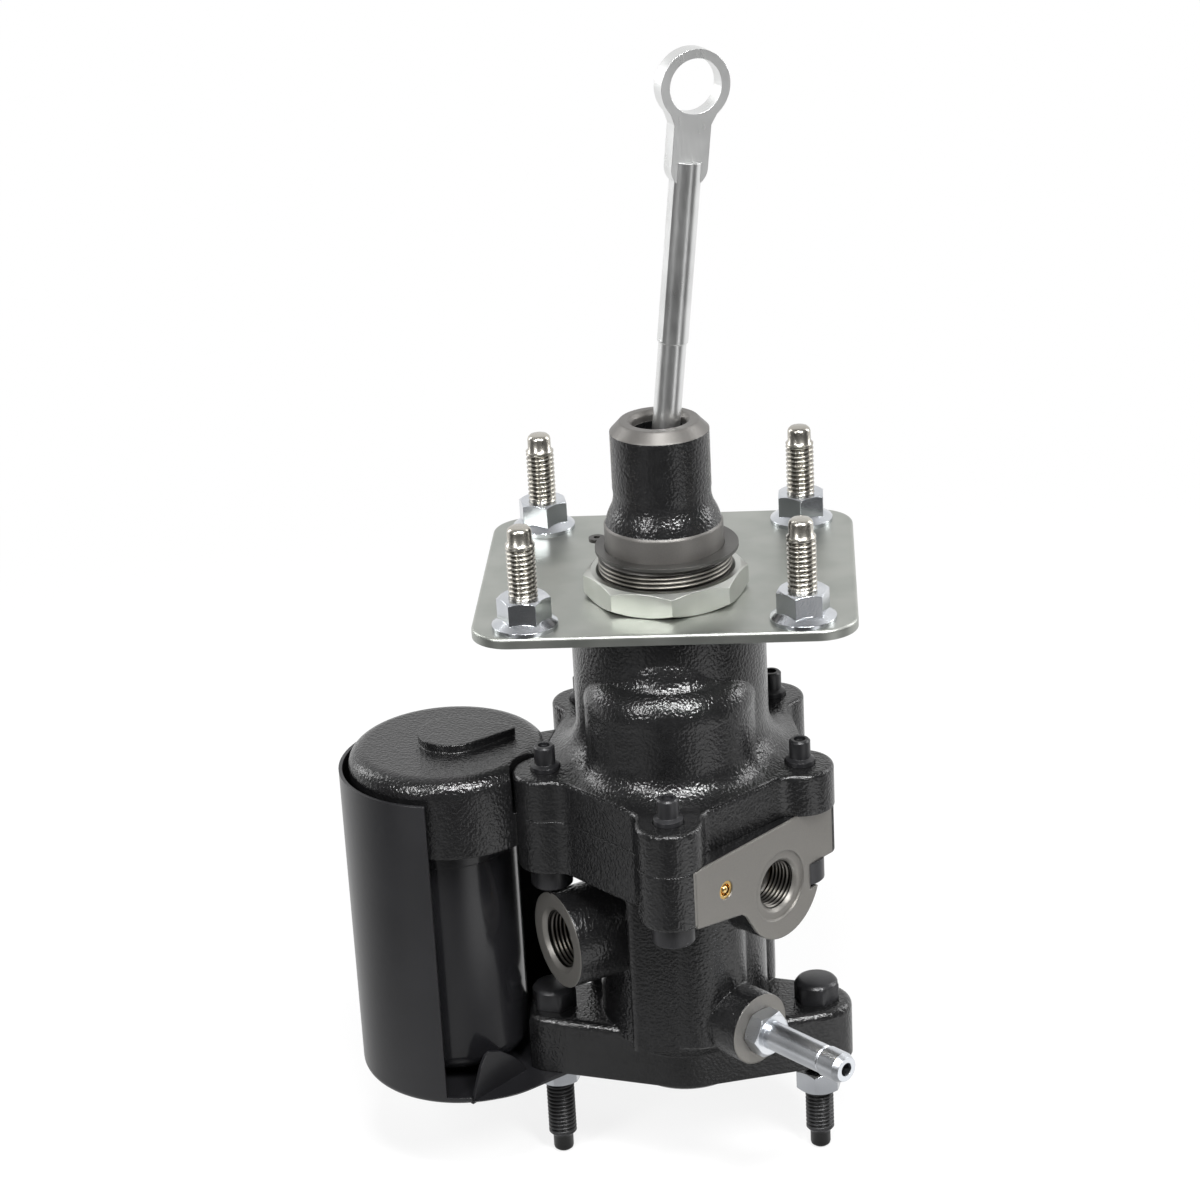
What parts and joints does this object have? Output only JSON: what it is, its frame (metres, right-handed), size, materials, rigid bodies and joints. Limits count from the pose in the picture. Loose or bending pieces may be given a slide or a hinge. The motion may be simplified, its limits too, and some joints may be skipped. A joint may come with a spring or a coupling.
{
  "type": "hydraulic brake booster",
  "caption": "Hydraulic brake booster with firewall plate, pedal rod, bolted valve cover, side accumulator in a heat shield, and hose ports",
  "frame": {"origin": "centre of the square of firewall studs, on the firewall side face of the mounting plate", "axes": "+Z along the booster's axis towards the pedal, +X to the right when seen from the valve side, -Y towards the valve column"},
  "size_m": [0.1757, 0.1434, 0.3881],
  "materials": {
    "casting_black": "semi-gloss black paint over a rough casting",
    "can_black": "gloss black paint",
    "shield_black": "satin black coated sheet",
    "plate_zinc": "satin grey-green zinc",
    "bright_zinc": "bright zinc",
    "nickel": "warm nickel",
    "black_oxide": "black oxide",
    "ground_steel": "ground steel",
    "spring_steel": "oiled spring steel",
    "alloy": "machined alloy",
    "brass": "machined brass",
    "seal_rubber": "matt nitrile"
  },
  "bodies": {
    "housing": {"cover_casting": "casting_black", "housing_casting": "casting_black", "cover_seal": "seal_rubber", "mounting_plate": "plate_zinc", "firewall_studs": "nickel", "firewall_nuts": "bright_zinc", "mounting_nut": "plate_zinc", "retaining_clip": "black_oxide", "input_seal": "seal_rubber", "cover_bolts": "black_oxide", "master_cylinder_studs": "black_oxide", "master_cylinder_nuts": "bright_zinc", "return_fitting": "bright_zinc", "return_fitting_seal": "seal_rubber", "gallery_plug": "brass", "gallery_ball": "brass", "pump_port_seat": "brass", "gear_port_seat": "brass", "piston_return_spring": "spring_steel", "spring_retainer": "ground_steel", "spool_spring": "spring_steel", "spool_plug": "ground_steel", "spool_plug_seal": "seal_rubber", "spool_plug_clip": "spring_steel", "accumulator_can": "can_black", "accumulator_ring": "can_black", "accumulator_seal": "seal_rubber", "gas_plug": "bright_zinc", "heat_shield": "shield_black"},
    "rod_cup": {"rod_seat": "alloy"},
    "pedal_rod": {"pedal_rod": "bright_zinc"},
    "plunger": {"input_plunger": "ground_steel"},
    "piston": {"power_piston": "ground_steel", "piston_seal": "seal_rubber", "lever_pin": "ground_steel", "output_rod": "ground_steel"},
    "lever": {"valve_lever": "ground_steel"},
    "spool": {"spool_valve": "ground_steel"},
    "gas_piston": {"accumulator_piston": "alloy", "accumulator_piston_seal": "seal_rubber"}
  },
  "joints": [
    {"name": "pedal_stroke", "type": "slide", "parent": "housing", "child": "plunger", "axis": [0, 0, -1], "range_m": [0, 0.034], "stiffness_N_per_m": 1500, "springref_m": -0.01},
    {"name": "rod_tilt", "type": "hinge", "parent": "plunger", "child": "rod_cup", "pos_m": [0, -0.0174, 0.037], "axis": [0.291, -0.9567, 0], "range_deg": [0, 6.84]},
    {"name": "rod_swing", "type": "hinge", "parent": "rod_cup", "child": "pedal_rod", "pos_m": [0, -0.0174, 0.037], "axis": [0.9567, 0.291, 0], "range_deg": [-3, 3]},
    {"name": "piston_stroke", "type": "slide", "parent": "housing", "child": "piston", "axis": [0, 0, -1], "range_m": [0, 0.0326], "deforming": ["piston_return_spring"]},
    {"name": "lever_swing", "type": "hinge", "parent": "piston", "child": "lever", "pos_m": [0, -0.0174, -0.058], "axis": [-1, 0, 0], "range_deg": [0, 51.5]},
    {"name": "spool_shift", "type": "slide", "parent": "housing", "child": "spool", "axis": [0, 0, -1], "range_m": [0, 0.002], "deforming": ["spool_spring"]},
    {"name": "gas_piston_slide", "type": "slide", "parent": "housing", "child": "gas_piston", "axis": [0, 0, -1], "range_m": [0, 0.045]}
  ],
  "couplings": [
    {"joint": "rod_tilt", "follows": "pedal_stroke", "rad_per_m": 3.5027},
    {"joint": "piston_stroke", "follows": "pedal_stroke", "ratio": 0.95588},
    {"joint": "lever_swing", "follows": "pedal_stroke", "rad_per_m": 26.277},
    {"joint": "spool_shift", "follows": "pedal_stroke", "ratio": 0.055882}
  ]
}
